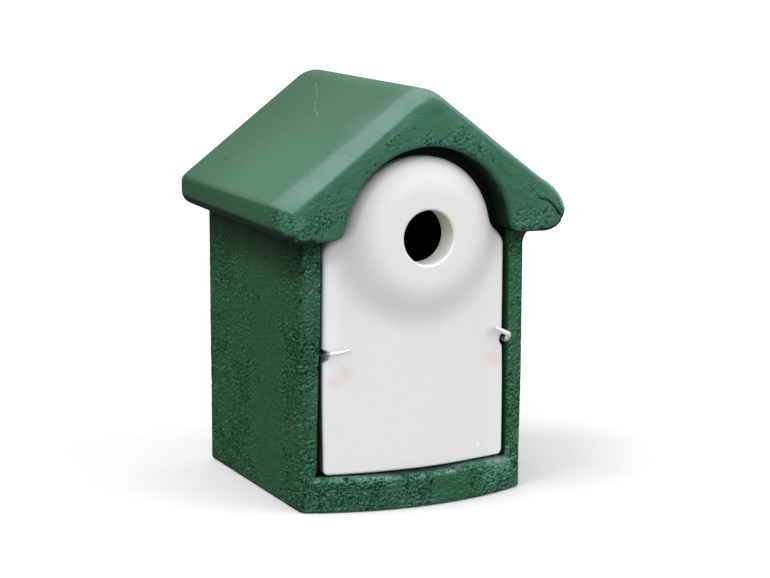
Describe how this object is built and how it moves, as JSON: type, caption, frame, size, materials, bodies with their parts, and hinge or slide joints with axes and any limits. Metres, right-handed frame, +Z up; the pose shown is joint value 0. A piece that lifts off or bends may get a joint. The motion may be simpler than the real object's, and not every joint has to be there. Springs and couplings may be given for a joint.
{
  "type": "nest box",
  "caption": "Apex nest box for small birds: bowed cast body with a vaulted cavity, a removable front panel with a round entrance hole, and turning hooks.",
  "frame": {"origin": "on the floor plane, at the centre of the outline in plan (half way between the gable face and the flat back)", "axes": "+X to the object's right as seen from its front, +Y towards the flat back, so the front panel faces -Y, +Z up"},
  "size_m": [0.183, 0.1666, 0.2476],
  "materials": {
    "casting_green": "matt, porous",
    "panel_white": "satin",
    "hook_steel": "bright zinc"
  },
  "bodies": {
    "box": {"floor_slab": "casting_green", "left_wall": "casting_green", "right_wall": "casting_green", "left_jamb": "casting_green", "right_jamb": "casting_green", "back_wall": "casting_green", "left_roof": "casting_green", "right_roof": "casting_green", "gable_hood": "casting_green", "front_panel": "panel_white"},
    "left_catch": {"left_hook": "hook_steel"},
    "right_catch": {"right_hook": "hook_steel"}
  },
  "joints": [
    {"name": "left_hook_turn", "type": "hinge", "parent": "box", "child": "left_catch", "pos_m": [-0.0595, -0.06125, 0.0935], "axis": [0, -1, 0], "range_deg": [0, 180]},
    {"name": "right_hook_turn", "type": "hinge", "parent": "box", "child": "right_catch", "pos_m": [0.0595, -0.06125, 0.094], "axis": [0, 1, 0], "range_deg": [0, 160]}
  ]
}
